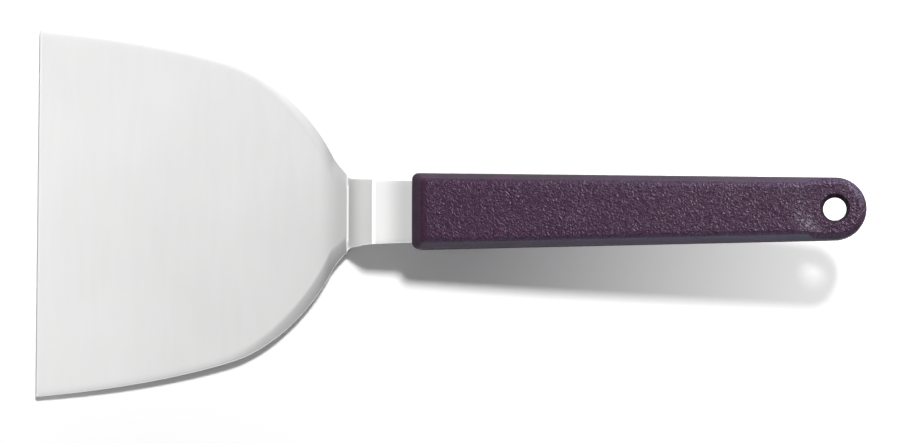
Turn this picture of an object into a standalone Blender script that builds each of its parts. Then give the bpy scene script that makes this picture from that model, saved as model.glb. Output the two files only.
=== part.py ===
"""Griddle spatula with an offset neck.

One stamped steel piece makes the blade, the neck and the tang. One moulded plastic handle is
formed over the tang and locks through two holes in it. Units are metres, +Z is up. +X runs
from the blade's front edge to the end of the handle, the blade lies flat on z = 0, and the
origin is on that plane, below the middle of the whole tool.
"""
import bpy
import bmesh
from math import acos, atan2, cos, hypot, pi, radians, sin, tan
from mathutils import Matrix, Vector
from mathutils.geometry import interpolate_bezier

# Steel sheet
STEEL_THICKNESS = 0.0020
EDGE_BREAK = 0.0002            # small chamfer along every cut edge

# Blade outline, symmetric about the middle; setbacks are measured ahead of the bend line
BLADE_LENGTH = 0.1010          # front edge to bend line
BLADE_WIDTH = 0.1204           # at the front edge
SHOULDER_SETBACK = 0.0367
SHOULDER_WIDTH = 0.0971
THROAT_SETBACK = 0.0049
THROAT_WIDTH = 0.0390
FRONT_ANGLE = 5.2              # slope of the side at the front edge, degrees
SHOULDER_ANGLE = 17.4          # slope of the side where the shoulder starts
THROAT_ANGLE = 63.5            # steepest slope, where the outline turns hollow
SIDE_PULL = 0.0210             # reach of the curve's tangents along the side
SHOULDER_PULL = 0.0134         # the same round the shoulder
THROAT_PULL = 0.0035           # the same between throat and neck

# Ground front edge and ground shoulders, both on the upper face
FRONT_GRIND_LENGTH = 0.0008
FRONT_EDGE_THICKNESS = 0.0011
BAND_WIDTH = 0.0034            # of the ground shoulder, square to the outline
BAND_DROP = 0.0005             # how much it thins the edge
BAND_SETBACK = 0.0095          # where it starts to fade, ahead of the bend line
BAND_FADE_LENGTH = 0.0340      # length over which it fades out towards the front
ROLL_WIDTH = 0.0020            # rolled edge that the band fades into
ROLL_DROP = 0.0001
SLOPE_REACH = 0.0010           # stretch to each side over which the outline's slope is taken

# Neck: a bend up, a straight riser and a bend back
NECK_ROOT_SETBACK = 0.0015     # corner of blade and neck, behind the bend line along the sheet
NECK_ROOT_WIDTH = 0.0230
NECK_ROOT_ANGLE = 46.0         # slope of the outline as it comes into that corner
NECK_ROOT_RADIUS = 0.0030
NECK_FLARE_ANGLE = 6.0         # slope of the neck's side as it leaves that corner
NECK_END_ANGLE = 1.2           # the same where it enters the handle
NECK_PULL = 0.0080             # reach of the curve's tangents along the neck
NECK_WIDTH = 0.0202            # where it enters the handle
RISE = 0.0102                  # blade's mid-plane to tang's mid-plane at the second bend
RISER_ANGLE = 51.0
TANG_ANGLE = 7.5               # upward slope of tang and handle
FIRST_BEND_RADIUS = 0.0025     # to the middle of the sheet
SECOND_BEND_RADIUS = 0.0020
STRAP_LENGTH = 0.0119          # second bend to the front of the handle

# Tang inside the handle
NECK_SEAT = 0.0035             # depth of full-width neck inside the handle
TANG_SHOULDER = 0.0060         # length over which the neck narrows to the tang
TANG_WIDTH = 0.0150
TANG_LENGTH = 0.0920           # from the front of the handle
TANG_CORNER = 0.0040
LOCK_HOLE_DIAMETER = 0.0065
LOCK_HOLE_SPACING = 0.0340
LOCK_HOLE_SETBACK = 0.0140     # last lock hole to the end of the tang

# Handle, in its own frame: x along it from its front face, z across its thickness
HANDLE_LENGTH = 0.1447
HANDLE_FRONT_WIDTH = 0.0247
HANDLE_REAR_WIDTH = 0.0198     # diameter of the round end
HANDLE_FRONT_THICKNESS = 0.0160
HANDLE_REAR_THICKNESS = 0.0140
TANG_LIFT = 0.0020             # tang's mid-plane above the handle's
SIDE_CHAMFER = 0.0027
FRONT_CHAMFER = 0.0046
CHAMFER_DROP = 0.0033
CHAMFER_ROUND = 0.0013         # rounding where the chamfer meets wall and face
HANDLE_CORNER = 0.0021         # plan radius of the two front corners

# Dished eye round the hang hole
EYE_THICKNESS = 0.0116
EYE_FLAT_DIAMETER = 0.0172
EYE_WALL_WIDTH = 0.0044
HANG_HOLE_DIAMETER = 0.0072    # at its waist
HANG_HOLE_DRAFT = 8.0          # degrees, opening from the waist to both faces
HANG_HOLE_LIP = 0.00025        # rounding of the hole's rim

CLEARANCE = 0.0003             # between the steel and the plastic
OVERCUT = 0.0020               # how far a cutter stands past the face it cuts

# Finish
STEEL_COLOUR = (0.80, 0.80, 0.79)
STEEL_ROUGHNESS = 0.4
PLASTIC_COLOUR = (0.075, 0.038, 0.072)
PLASTIC_ROUGHNESS = 0.5
SMOOTH_ANGLE = 30              # degrees, sharper edges stay sharp

# Facets
SIDE_STEPS = 14
THROAT_STEPS = 8
BEND_STEPS = 8
ROUND_STEPS = 4
END_STEPS = 28
HOLE_STEPS = 40
MERGE_DISTANCE = 1e-6


def clear_scene():
    for item in list(bpy.data.objects):
        bpy.data.objects.remove(item, do_unlink=True)


def principled(name, colour, metallic, roughness):
    made = bpy.data.materials.new(name)
    made.use_nodes = True
    shader = made.node_tree.nodes["Principled BSDF"]
    shader.inputs["Base Color"].default_value = (*colour, 1.0)
    shader.inputs["Metallic"].default_value = metallic
    shader.inputs["Roughness"].default_value = roughness
    return made


def curve_between(start, start_angle, start_pull, end, end_angle, end_pull, steps):
    """Bezier points between two outline points whose sides slope down by the given angles."""
    first = Vector(start)
    last = Vector(end)
    leave = first + start_pull * Vector((cos(radians(start_angle)), -sin(radians(start_angle))))
    arrive = last - end_pull * Vector((cos(radians(end_angle)), -sin(radians(end_angle))))
    return [point.to_2d() for point in interpolate_bezier(first, leave, arrive, last, steps + 1)]


def rounded_path(corners):
    """Points along straight runs whose corners, given as (x, y, radius), are arcs."""
    path = []
    for index, (x, y, radius) in enumerate(corners):
        here = Vector((x, y))
        if index in (0, len(corners) - 1) or radius == 0:
            path.append(here)
            continue
        back = (Vector(corners[index - 1][:2]) - here).normalized()
        ahead = (Vector(corners[index + 1][:2]) - here).normalized()
        half = acos(max(-1.0, min(1.0, back.dot(ahead)))) / 2
        centre = here + (back + ahead).normalized() * radius / sin(half)
        arm = here + back * radius / tan(half) - centre
        turn = pi - 2 * half
        side = 1 if back.x * ahead.y - back.y * ahead.x < 0 else -1
        for step in range(ROUND_STEPS + 1):
            path.append(centre + Matrix.Rotation(side * turn * step / ROUND_STEPS, 2) @ arm)
    return path


def mesh_object(name, mesh_data, finish):
    """Object from a bmesh, with its faces turned outwards."""
    bmesh.ops.recalc_face_normals(mesh_data, faces=mesh_data.faces)
    mesh = bpy.data.meshes.new(name)
    mesh_data.to_mesh(mesh)
    mesh_data.free()
    made = bpy.data.objects.new(name, mesh)
    bpy.context.collection.objects.link(made)
    if finish:
        mesh.materials.append(finish)
    return made


def bridge_rings(rings):
    """Closed skin through rings of equal length, with a flat cap on the first and the last."""
    mesh_data = bmesh.new()
    loops = [[mesh_data.verts.new(point) for point in ring] for ring in rings]
    count = len(rings[0])
    for low, high in zip(loops, loops[1:]):
        for index in range(count):
            after = (index + 1) % count
            mesh_data.faces.new((low[index], low[after], high[after], high[index]))
    mesh_data.faces.new(loops[0])
    mesh_data.faces.new(loops[-1])
    return mesh_data


def turned(name, profile, place):
    """Cutter turned about its own z axis from (radius, z) points that start and end on it."""
    mesh_data = bmesh.new()
    verts = [mesh_data.verts.new((radius, 0, z)) for radius, z in profile]
    edges = [mesh_data.edges.new(pair) for pair in zip(verts, verts[1:])]
    bmesh.ops.spin(mesh_data, geom=verts + edges, axis=(0, 0, 1), cent=(0, 0, 0),
                   steps=HOLE_STEPS, angle=2 * pi, use_merge=True)
    bmesh.ops.remove_doubles(mesh_data, verts=mesh_data.verts, dist=MERGE_DISTANCE)
    return as_cutter(mesh_object(name, mesh_data, None), place)


def as_cutter(cutter, place):
    cutter.matrix_world = place
    cutter.hide_render = True
    cutter.display_type = "WIRE"
    return cutter


def cut(target, cutter):
    boolean = target.modifiers.new(cutter.name, "BOOLEAN")
    boolean.operation = "DIFFERENCE"
    boolean.solver = "EXACT"
    boolean.object = cutter


def shade_smooth(item):
    item.data.shade_smooth()
    item.data.set_sharp_from_angle(angle=radians(SMOOTH_ANGLE))


def riser_length():
    """Straight part of the riser that makes up the rise between the two bends."""
    riser = radians(RISER_ANGLE)
    first = FIRST_BEND_RADIUS * (1 - cos(riser))
    second = SECOND_BEND_RADIUS * (cos(radians(TANG_ANGLE)) - cos(riser))
    return (RISE - first - second) / sin(riser)


def bend_runs():
    """Runs of the sheet's middle line: (length, turn in radians), positive turns upwards."""
    up = radians(RISER_ANGLE)
    back = radians(RISER_ANGLE - TANG_ANGLE)
    return [
        (BLADE_LENGTH, 0.0),
        (FIRST_BEND_RADIUS * up, up),
        (riser_length(), 0.0),
        (SECOND_BEND_RADIUS * back, -back),
        (STRAP_LENGTH + TANG_LENGTH, 0.0),
    ]


def mouth_length():
    """Length along the sheet from the front edge to the front of the handle."""
    return sum(length for length, turn in bend_runs()) - TANG_LENGTH


def along_sheet(distance):
    """Place (x, z) and slope of the sheet's middle line at a distance from the front edge."""
    x = 0.0
    z = STEEL_THICKNESS / 2
    slope = 0.0
    left = distance
    runs = bend_runs()
    for index, (length, turn) in enumerate(runs):
        last = index == len(runs) - 1
        used = left if last else min(left, length)
        if turn:
            radius = length / turn
            after = slope + used / radius
            x += radius * (sin(after) - sin(slope))
            z += radius * (cos(slope) - cos(after))
            slope = after
        else:
            x += used * cos(slope)
            z += used * sin(slope)
        left -= used
        if left <= 0:
            break
    return x, z, slope


def tang_outline(grow=0.0):
    """Half outline of the neck's seat and the tang, from (0, width) at the handle's front."""
    neck = NECK_WIDTH / 2 + grow
    tang = TANG_WIDTH / 2 + grow
    end = TANG_LENGTH + grow
    pull = TANG_SHOULDER / 2
    shoulder = curve_between((NECK_SEAT, neck), 0, pull, (NECK_SEAT + TANG_SHOULDER, tang), 0, pull,
                             THROAT_STEPS)
    corner = rounded_path([(end - 2 * TANG_CORNER, tang, 0), (end, tang, TANG_CORNER),
                           (end, tang - 2 * TANG_CORNER, 0)])
    return shoulder + corner[1:-1]


def half_outline():
    """Half outline of the flat blank, as (distance from front edge, half width) points."""
    front = (0.0, BLADE_WIDTH / 2)
    shoulder = (BLADE_LENGTH - SHOULDER_SETBACK, SHOULDER_WIDTH / 2)
    throat = (BLADE_LENGTH - THROAT_SETBACK, THROAT_WIDTH / 2)
    root = (BLADE_LENGTH + NECK_ROOT_SETBACK, NECK_ROOT_WIDTH / 2)
    mouth = mouth_length()
    side = curve_between(front, FRONT_ANGLE, SIDE_PULL, shoulder, SHOULDER_ANGLE, SIDE_PULL,
                         SIDE_STEPS)
    bow = curve_between(shoulder, SHOULDER_ANGLE, SHOULDER_PULL, throat, THROAT_ANGLE,
                        SHOULDER_PULL, SIDE_STEPS)
    hollow = curve_between(throat, THROAT_ANGLE, THROAT_PULL, root, NECK_ROOT_ANGLE, THROAT_PULL,
                           THROAT_STEPS)[:THROAT_STEPS * 3 // 4 + 1]
    neck = curve_between(root, NECK_FLARE_ANGLE, NECK_PULL, (mouth, NECK_WIDTH / 2),
                         NECK_END_ANGLE, NECK_PULL, THROAT_STEPS)
    corner = rounded_path([(*hollow[-1], 0), (*root, NECK_ROOT_RADIUS), (*neck[1], 0)])
    tang = [Vector((mouth + point.x, point.y)) for point in tang_outline()]
    return side + bow[1:] + hollow[1:] + corner[1:] + neck[2:] + tang


def half_width_at(distance, outline):
    distance = max(distance, 0.0)
    for near, far in zip(outline, outline[1:]):
        if near.x <= distance <= far.x and far.x > near.x:
            share = (distance - near.x) / (far.x - near.x)
            return near.y + share * (far.y - near.y)
    return outline[-1].y


def slope_at(distance, outline):
    """Angle between the outline and the middle line, taken over a short stretch."""
    fall = half_width_at(distance - SLOPE_REACH, outline) \
        - half_width_at(distance + SLOPE_REACH, outline)
    return atan2(fall, 2 * SLOPE_REACH)


def blade_stations(outline):
    """Places along the sheet that get a cross-section: outline points, bends and the grind."""
    stations = [(point.x, point.y) for point in outline]
    stations.append((FRONT_GRIND_LENGTH, half_width_at(FRONT_GRIND_LENGTH, outline)))
    start = 0.0
    for length, turn in bend_runs():
        steps = BEND_STEPS if turn else 1
        for step in range(steps):
            place = start + length * step / steps
            stations.append((place, half_width_at(place, outline)))
        start += length
    stations.sort(key=lambda station: (station[0], -station[1]))
    kept = stations[:1]
    for station in stations[1:]:
        if hypot(station[0] - kept[-1][0], station[1] - kept[-1][1]) > EDGE_BREAK / 2:
            kept.append(station)
    return kept


def fade(place, full, none):
    """Smooth share that falls from 1 at one place to 0 at the other."""
    share = max(0.0, min(1.0, (none - place) / (none - full)))
    return share * share * (3 - 2 * share)


def band_at(distance):
    """Width and drop of the ground shoulder, which fades into the rolled edge at both ends."""
    full = BLADE_LENGTH - BAND_SETBACK
    share = min(fade(distance, full, full - BAND_FADE_LENGTH),
                fade(distance, BLADE_LENGTH, BLADE_LENGTH + NECK_ROOT_SETBACK))
    return (ROLL_WIDTH + share * (BAND_WIDTH - ROLL_WIDTH),
            ROLL_DROP + share * (BAND_DROP - ROLL_DROP))


def blade_section(distance, half_width, slope):
    """Ring of (across, height above the sheet's middle) points, counter-clockwise."""
    top = STEEL_THICKNESS / 2
    bottom = -top
    if distance < FRONT_GRIND_LENGTH:
        ground = 1 - distance / FRONT_GRIND_LENGTH
        top -= ground * (STEEL_THICKNESS - FRONT_EDGE_THICKNESS)
    width, drop = band_at(distance)
    band = min(width / cos(min(slope, radians(THROAT_ANGLE))), half_width / 2)
    side = [
        (half_width - EDGE_BREAK, bottom),
        (half_width, bottom + EDGE_BREAK),
        (half_width, top - drop - EDGE_BREAK),
        (half_width - EDGE_BREAK, top - drop),
        (half_width - band, top),
    ]
    return side + [(-across, height) for across, height in reversed(side)]


def build_blade(finish):
    outline = half_outline()
    rings = []
    for distance, half_width in blade_stations(outline):
        x, z, rise = along_sheet(distance)
        section = blade_section(distance, half_width, slope_at(distance, outline))
        rings.append([(x - height * sin(rise), across, z + height * cos(rise))
                      for across, height in section])
    blade = mesh_object("blade", bridge_rings(rings), finish)
    for index, place in enumerate(lock_hole_places()):
        reach = STEEL_THICKNESS / 2 + OVERCUT
        radius = LOCK_HOLE_DIAMETER / 2
        profile = [(0, -reach), (radius, -reach), (radius, reach), (0, reach)]
        cut(blade, turned(f"lock_hole_{index + 1}", profile, handle_place() @ place))
    return blade


def handle_place():
    """Handle's own frame: on its middle line at its front face, x along it."""
    x, z, slope = along_sheet(mouth_length())
    sheet = Matrix.Translation((x, 0, z)) @ Matrix.Rotation(-slope, 4, "Y")
    return sheet @ Matrix.Translation((0, 0, -TANG_LIFT))


def lock_hole_places():
    """Lock holes on the tang's middle plane, in the handle's frame."""
    last = TANG_LENGTH - LOCK_HOLE_SETBACK
    return [Matrix.Translation((last - LOCK_HOLE_SPACING * count, 0, TANG_LIFT)) for count in (1, 0)]


def hang_hole_x():
    return HANDLE_LENGTH - HANDLE_REAR_WIDTH / 2


def handle_half_thickness(x):
    share = x / hang_hole_x()
    return (HANDLE_FRONT_THICKNESS + share * (HANDLE_REAR_THICKNESS - HANDLE_FRONT_THICKNESS)) / 2


def side_taper():
    """Angle of the handle's sides, which run from the front corners tangent to the round end."""
    front = HANDLE_FRONT_WIDTH / 2
    reach = hypot(front, hang_hole_x())
    return acos(HANDLE_REAR_WIDTH / 2 / reach) - atan2(hang_hole_x(), front)


def handle_plan(inset):
    """Plan outline of the handle drawn in by an inset, from the front corner round the end."""
    taper = side_taper()
    radius = HANDLE_REAR_WIDTH / 2 - inset
    front_x = inset * FRONT_CHAMFER / SIDE_CHAMFER
    front_y = (HANDLE_FRONT_WIDTH / 2 * cos(taper) - inset - front_x * sin(taper)) / cos(taper)
    end_y = radius * cos(taper)
    end_x = hang_hole_x() + radius * sin(taper)
    corner = max(HANDLE_CORNER - inset / 2, HANDLE_CORNER / 4)
    half = rounded_path([(front_x, 0, 0), (front_x, front_y, corner), (end_x, end_y, 0)])[1:-1]
    for step in range(END_STEPS // 2 + 1):
        angle = (pi / 2 - taper) * (1 - 2 * step / END_STEPS)
        half.append(Vector((hang_hole_x() + radius * cos(angle), radius * sin(angle))))
    return half + [Vector((point.x, -point.y)) for point in reversed(half[:-1])]


def handle_edge():
    """Rounded chamfer as (inset, drop below the face), from the wall up to the flat face."""
    wall = CHAMFER_DROP + 2 * CHAMFER_ROUND
    face = SIDE_CHAMFER + 2 * CHAMFER_ROUND
    return rounded_path([(0, wall, 0), (0, CHAMFER_DROP, CHAMFER_ROUND),
                         (SIDE_CHAMFER, 0, CHAMFER_ROUND), (face, 0, 0)])[1:-1]


def build_handle(finish):
    edge = handle_edge()
    levels = [(inset, drop, -1) for inset, drop in reversed(edge)]
    levels += [(inset, drop, 1) for inset, drop in edge]
    rings = []
    for inset, drop, side in levels:
        plan = handle_plan(inset)
        rings.append([(point.x, point.y, side * (handle_half_thickness(point.x) - drop))
                      for point in plan])
    handle = mesh_object("handle", bridge_rings(rings), finish)
    handle.matrix_world = handle_place()
    cut(handle, tang_pocket())
    for name, turn in (("eye_dish_upper", 0.0), ("eye_dish_lower", pi)):
        place = Matrix.Translation((hang_hole_x(), 0, 0)) @ Matrix.Rotation(turn, 4, "X")
        cut(handle, turned(name, eye_dish_profile(), handle_place() @ place))
    hole = Matrix.Translation((hang_hole_x(), 0, 0))
    cut(handle, turned("hang_hole", hang_hole_profile(), handle_place() @ hole))
    return handle


def tang_pocket():
    """Cutter for the space round the tang, with the two plugs left standing in it."""
    outline = tang_outline(CLEARANCE)
    lead = Vector((-OVERCUT, NECK_WIDTH / 2 + CLEARANCE))
    half = [lead] + outline
    plan = half + [Vector((point.x, -point.y)) for point in reversed(half)]
    reach = STEEL_THICKNESS / 2 + CLEARANCE
    rings = [[(point.x, point.y, TANG_LIFT + side * reach) for point in plan] for side in (-1, 1)]
    pocket = as_cutter(mesh_object("tang_pocket", bridge_rings(rings), None), handle_place())
    for index, place in enumerate(lock_hole_places()):
        radius = LOCK_HOLE_DIAMETER / 2 - CLEARANCE
        tall = reach + OVERCUT
        profile = [(0, -tall), (radius, -tall), (radius, tall), (0, tall)]
        cut(pocket, turned(f"lock_plug_{index + 1}", profile, handle_place() @ place))
    return pocket


def eye_dish_profile():
    """Flat floor and sloping wall of the dish, above the handle's middle."""
    floor = EYE_THICKNESS / 2
    face = handle_half_thickness(hang_hole_x())
    flat = EYE_FLAT_DIAMETER / 2
    slope = EYE_WALL_WIDTH / (face - floor)
    top = face + OVERCUT
    wide = flat + slope * (top - floor)
    path = rounded_path([(0, floor, 0), (flat, floor, CHAMFER_ROUND), (wide, top, 0)])
    return [*path, (0, top)]


def hang_hole_profile():
    """Hole that opens from its waist to both faces, with a rounded lip at each."""
    waist = HANG_HOLE_DIAMETER / 2
    face = EYE_THICKNESS / 2
    mouth = waist + face * tan(radians(HANG_HOLE_DRAFT))
    upper = []
    for step in range(ROUND_STEPS + 1):
        angle = pi / 2 * step / ROUND_STEPS
        upper.append((mouth + HANG_HOLE_LIP * (1 - cos(angle)),
                      face - HANG_HOLE_LIP * (1 - sin(angle))))
    upper.append((mouth + HANG_HOLE_LIP, face + OVERCUT))
    lower = [(radius, -height) for radius, height in reversed(upper)]
    return [(0, -face - OVERCUT), *lower, (waist, 0), *upper, (0, face + OVERCUT)]


def reach_of(item):
    """Furthest the object stands out along X."""
    return max((item.matrix_world @ vert.co).x for vert in item.data.vertices)


def main():
    clear_scene()
    steel = principled("satin_steel", STEEL_COLOUR, 1.0, STEEL_ROUGHNESS)
    plastic = principled("grained_plastic", PLASTIC_COLOUR, 0.0, PLASTIC_ROUGHNESS)
    blade = build_blade(steel)
    handle = build_handle(plastic)
    shade_smooth(blade)
    shade_smooth(handle)
    middle = Matrix.Translation((-reach_of(handle) / 2, 0, 0))
    for item in bpy.data.objects:
        item.matrix_world = middle @ item.matrix_world


main()
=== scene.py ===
"""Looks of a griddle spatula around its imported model.

The satin steel piece and the grained handle stand in for their CAD nodes in the same place, with
finer bends, softer edges and the moulded leather grain. Units are metres, +X runs from the
blade's front edge to the end of the handle and the blade lies flat on z = 0.
"""
from math import acos, atan2, cos, hypot, pi, radians, sin, tan

import bmesh
import bpy
import numpy as np
from bpy.props import FloatProperty, FloatVectorProperty, IntProperty, PointerProperty
from mathutils import Matrix, Vector
from mathutils.geometry import delaunay_2d_cdt, interpolate_bezier


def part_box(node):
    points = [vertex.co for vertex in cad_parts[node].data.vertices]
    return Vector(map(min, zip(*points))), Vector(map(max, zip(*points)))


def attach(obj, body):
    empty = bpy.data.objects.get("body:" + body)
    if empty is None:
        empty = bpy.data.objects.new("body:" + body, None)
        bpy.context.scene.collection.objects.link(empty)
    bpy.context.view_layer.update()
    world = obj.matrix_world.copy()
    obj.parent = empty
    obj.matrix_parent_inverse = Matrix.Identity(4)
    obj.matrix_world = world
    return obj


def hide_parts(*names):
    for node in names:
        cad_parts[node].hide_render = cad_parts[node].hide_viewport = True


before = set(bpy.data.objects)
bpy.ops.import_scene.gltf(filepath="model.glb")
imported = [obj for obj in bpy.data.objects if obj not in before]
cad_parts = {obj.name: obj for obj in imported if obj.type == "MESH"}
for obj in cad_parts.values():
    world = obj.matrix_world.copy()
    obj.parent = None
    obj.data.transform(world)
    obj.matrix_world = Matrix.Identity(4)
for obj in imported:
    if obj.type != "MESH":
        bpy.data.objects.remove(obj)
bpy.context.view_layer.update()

bl_info = {
    "name": "Griddle spatula",
    "version": (1, 0, 0),
    "blender": (4, 5, 0),
    "location": "View3D > Sidebar > Spatula",
    "description": "Builds a griddle spatula with a satin steel blade and a grained plastic handle",
    "category": "Add Mesh",
}

BODY = "root"
EDGE_STEPS = 3         # facets round each rounded edge of the sheet
CUT_FACES = 2 * EDGE_STEPS + 1  # faces of a section that lie on its cut edge
SAME_PLACE = 1e-9      # distance below which two points of the handle's net are one
# The second steel finish, for the edges, carries a painted highlight in its colour.
SATIN, HIGHLIT_EDGE = range(2)           # finishes of the steel, in the order of its materials
GRAINED, BORE, SMOOTH = range(3)   # the same for the handle


def length(name, description, default):
    return FloatProperty(name=name, description=description, default=default, min=0.0,
                         precision=5, subtype="DISTANCE", unit="LENGTH")


def angle(name, description, degrees):
    return FloatProperty(name=name, description=description, default=radians(degrees),
                         subtype="ANGLE", unit="ROTATION")


def colour(name, description, default):
    return FloatVectorProperty(name=name, description=description, default=default, size=3,
                               min=0.0, max=1.0, subtype="COLOR")


def share(name, description, default):
    return FloatProperty(name=name, description=description, default=default, min=0.0, max=1.0,
                         subtype="FACTOR")


def count(name, description, default):
    return IntProperty(name=name, description=description, default=default, min=2)


# Sizes and colours

class SPATULA_PG_steel(bpy.types.PropertyGroup):
    """Sizes of the one piece of sheet steel: blade, neck and tang"""
    thickness: length("Thickness", "Thickness of the steel sheet", 0.0020)
    edge_round: length("Edge rounding", "Radius that the cut edges are tumbled to", 0.0002)
    blade_length: length("Blade length", "Front edge to bend line", 0.1010)
    blade_width: length("Blade width", "Width at the front edge", 0.1204)
    shoulder_setback: length("Shoulder setback", "Shoulder ahead of the bend line", 0.0367)
    shoulder_width: length("Shoulder width", "Width where the shoulder starts", 0.0971)
    throat_setback: length("Throat setback", "Throat ahead of the bend line", 0.0049)
    throat_width: length("Throat width", "Width where the outline turns hollow", 0.0390)
    front_angle: angle("Front slope", "Slope of the side at the front edge", 5.2)
    shoulder_angle: angle("Shoulder slope", "Slope of the side where the shoulder starts", 17.4)
    throat_angle: angle("Throat slope", "Steepest slope of the outline", 63.5)
    side_pull: length("Side pull", "Reach of the curve's tangents along the side", 0.0210)
    shoulder_pull: length("Shoulder pull", "Reach of the tangents round the shoulder", 0.0134)
    throat_pull: length("Throat pull", "Reach of the tangents into the neck", 0.0035)
    grind_length: length("Front grind", "Length of the bevel on the front edge", 0.0008)
    grind_edge: length("Front edge", "Thickness left at the front edge", 0.0011)
    band_width: length("Ground band", "Width of the ground shoulder, square to the outline", 0.0034)
    band_drop: length("Band drop", "How much the ground band thins the edge", 0.0005)
    band_setback: length("Band setback", "Where it starts to fade ahead of the bend line", 0.0095)
    band_fade: length("Band fade", "Length over which it fades out", 0.0340)
    band_soft: length("Band softness", "Reach of the blend at its inner side", 0.0008)
    roll_width: length("Rolled edge", "Width of the rolled edge that it fades into", 0.0020)
    roll_drop: length("Rolled edge drop", "How much the rolled edge falls", 0.0001)
    slope_reach: length("Slope reach", "Stretch over which the outline's slope is taken", 0.0010)
    root_setback: length("Neck root", "Neck's corner behind the bend line", 0.0015)
    root_width: length("Neck root width", "Width at the neck's corner", 0.0230)
    root_angle: angle("Neck root slope", "Slope of the outline into that corner", 46.0)
    root_radius: length("Neck root radius", "Rounding of that corner", 0.0030)
    flare_angle: angle("Neck flare", "Slope of the neck's side as it leaves that corner", 6.0)
    neck_end_angle: angle("Neck end slope", "The same where it enters the handle", 1.2)
    neck_pull: length("Neck pull", "Reach of the curve's tangents along the neck", 0.0080)
    neck_width: length("Neck width", "Width where the neck enters the handle", 0.0202)
    rise: length("Rise", "Height from the blade to the tang at the second bend", 0.0102)
    riser_angle: angle("Riser angle", "Slope of the riser between the two bends", 51.0)
    tang_angle: angle("Tang angle", "Upward slope of the tang and handle", 7.5)
    first_radius: length("First bend", "Radius to the middle of the sheet", 0.0025)
    second_radius: length("Second bend", "Radius to the middle of the sheet", 0.0020)
    strap_length: length("Strap", "Second bend to the front of the handle", 0.0119)
    seat: length("Neck seat", "Depth of full-width neck inside the handle", 0.0035)
    tang_shoulder: length("Tang shoulder", "Length over which the neck narrows", 0.0060)
    tang_width: length("Tang width", "Width of the tang", 0.0150)
    tang_length: length("Tang length", "Tang inside the handle", 0.0920)
    tang_corner: length("Tang corner", "Radius of the tang's corners", 0.0040)
    lock_diameter: length("Lock hole", "Diameter of the two holes in the tang", 0.0065)
    lock_spacing: length("Lock hole spacing", "Distance between the two holes", 0.0340)
    lock_setback: length("Lock hole setback", "Last hole to the end of the tang", 0.0140)
    tint: colour("Steel", "Colour of the steel", (0.82, 0.82, 0.815))
    roughness: share("Roughness", "Roughness of the satin grind", 0.32)
    side_steps: count("Side steps", "Facets along each curve of the outline", 36)
    bend_steps: count("Bend steps", "Facets round each bend", 16)


class SPATULA_PG_handle(bpy.types.PropertyGroup):
    """Sizes of the moulded handle, in its own frame with x along it from its front face"""
    size: length("Length", "Length of the handle", 0.1447)
    front_width: length("Front width", "Width at the front face", 0.0247)
    rear_width: length("Rear width", "Diameter of the round end", 0.0198)
    front_thickness: length("Front thickness", "Thickness at the front face", 0.0160)
    rear_thickness: length("Rear thickness", "Thickness at the hang hole", 0.0140)
    tang_lift: length("Tang lift", "Tang's middle above the handle's", 0.0020)
    side_chamfer: length("Side chamfer", "Width of the long chamfers", 0.0027)
    front_chamfer: length("Front chamfer", "Length of the front chamfers", 0.0046)
    chamfer_drop: length("Chamfer drop", "Height of the chamfers", 0.0033)
    chamfer_round: length("Chamfer rounding", "Radius where chamfer meets wall and face", 0.0019)
    corner: length("Corner", "Plan radius of the two front corners", 0.0021)
    eye_thickness: length("Eye thickness", "Thickness in the dish", 0.0116)
    eye_flat: length("Eye flat", "Diameter of the dish's floor", 0.0172)
    eye_wall: length("Eye wall", "Width of the dish's sloping wall", 0.0032)
    eye_round: length("Eye rounding", "Softness of the dish's rim", 0.0007)
    hole_diameter: length("Hang hole", "Diameter of the hang hole at its waist", 0.0072)
    hole_draft: angle("Hole draft", "Opening of the hole towards both faces", 8.0)
    hole_lip: length("Hole lip", "Rounding of the hole's rim", 0.00025)
    gap: length("Pocket gap", "Gap left round the tang", 0.00004)
    spacing: length("Grain mesh", "Spacing of the points on the grained faces", 0.000345)
    crown: length("Crown", "How much the faces fall towards their sides", 0.0007)
    grain_size: length("Grain size", "Distance between ridges of the leather grain", 0.00125)
    grain_relief: length("Grain relief", "Depth that the grain is pressed into the mesh", 0.00003)
    grain_depth: length("Grain depth", "Depth of the grain where it is shaded", 0.00021)
    grain_fade: share("Grain fade", "Share of the chamfer's width that stays free of grain", 0.3)
    tint: colour("Plastic", "Colour of the plastic", (0.036, 0.012, 0.034))
    roughness: share("Roughness", "Roughness of the smooth chamfers", 0.37)


class SPATULA_PG_stage(bpy.types.PropertyGroup):
    """Camera, lamps and floor"""
    distance: length("Camera distance", "Camera to the point that it looks at", 0.800)
    tilt: angle("Camera tilt", "Camera off the vertical, towards -Y", 3.2)
    roll: angle("Camera roll", "Turn of the camera about its view", 0.1)
    focal_length: FloatProperty(name="Focal length", description="Lens for a 36 mm sensor",
                                default=97.72, min=1.0, unit="CAMERA")
    target: FloatVectorProperty(name="Target", description="Point that the camera looks at",
                                default=(0.00146, -0.00266, 0.002), size=3,
                                subtype="TRANSLATION", unit="LENGTH")
    floor_size: length("Floor size", "Side of the square floor", 6.0)
    floor_slope: angle("Floor slope", "How far the floor falls behind the front edge", 1.8)
    floor_drop: length("Floor drop", "Depth of the floor below the middle of the tool", 0.0049)
    floor_tint: colour("Floor", "Colour of the floor", (0.90, 0.90, 0.90))
    floor_glow: share("Floor glow", "White added to the floor where it is seen", 0.075)
    room: share("Room light", "Strength of the light from all round", 0.18)
    key: FloatProperty(name="Key light", description="Power of the key softbox", default=11.2,
                       min=0.0, unit="POWER")


# Shapes

def curve_between(start, start_angle, start_pull, end, end_angle, end_pull, steps):
    """Bezier points between two outline points whose sides slope down by the given angles."""
    first = Vector(start)
    last = Vector(end)
    leave = first + start_pull * Vector((cos(start_angle), -sin(start_angle)))
    arrive = last - end_pull * Vector((cos(end_angle), -sin(end_angle)))
    return [point.to_2d() for point in interpolate_bezier(first, leave, arrive, last, steps + 1)]


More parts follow.
